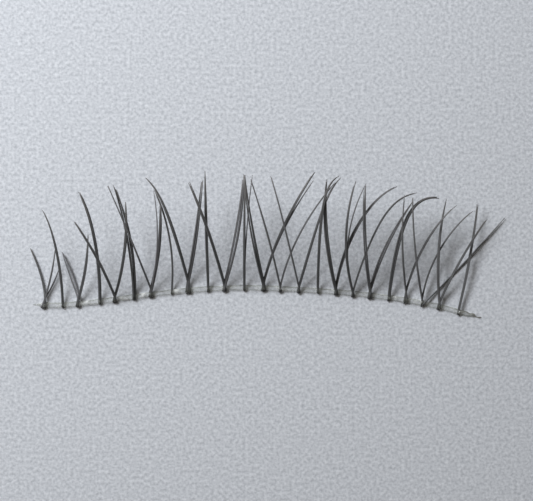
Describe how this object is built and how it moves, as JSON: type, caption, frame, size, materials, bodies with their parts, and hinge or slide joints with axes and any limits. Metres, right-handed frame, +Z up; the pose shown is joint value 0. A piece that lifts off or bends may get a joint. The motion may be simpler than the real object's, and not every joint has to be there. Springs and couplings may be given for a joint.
{
  "type": "false eyelash strip",
  "caption": "Strip of false eyelashes lying flat: clusters of dark curled lashes set in a thin, bowed, clear glue band.",
  "frame": {"origin": "under the middle of the strip's box, on the surface that it lies on", "axes": "+X along the band, from the short lashes to the swept ones; +Y from the band to the lash tips; +Z up, the way the lashes curl"},
  "size_m": [0.0362, 0.0112, 0.0043],
  "materials": {
    "lash_fibre": "satin dark charcoal synthetic fibre, browner toward the tips",
    "clear_band": "clear glossy glue film, slightly greenish, with small lumps"
  },
  "bodies": {
    "root": {"band": "clear_band", "lash_cluster_01": "lash_fibre", "lash_cluster_02": "lash_fibre", "lash_cluster_03": "lash_fibre", "lash_cluster_04": "lash_fibre", "lash_cluster_05": "lash_fibre", "lash_cluster_06": "lash_fibre", "lash_cluster_07": "lash_fibre", "lash_cluster_08": "lash_fibre", "lash_cluster_09": "lash_fibre", "lash_cluster_10": "lash_fibre", "lash_cluster_11": "lash_fibre", "lash_cluster_12": "lash_fibre", "lash_cluster_13": "lash_fibre", "lash_cluster_14": "lash_fibre", "lash_cluster_15": "lash_fibre", "lash_cluster_16": "lash_fibre", "lash_cluster_17": "lash_fibre", "lash_cluster_18": "lash_fibre", "lash_cluster_19": "lash_fibre", "lash_cluster_20": "lash_fibre", "lash_cluster_21": "lash_fibre", "lash_cluster_22": "lash_fibre", "lash_cluster_23": "lash_fibre", "lash_cluster_24": "lash_fibre"}
  },
  "joints": []
}
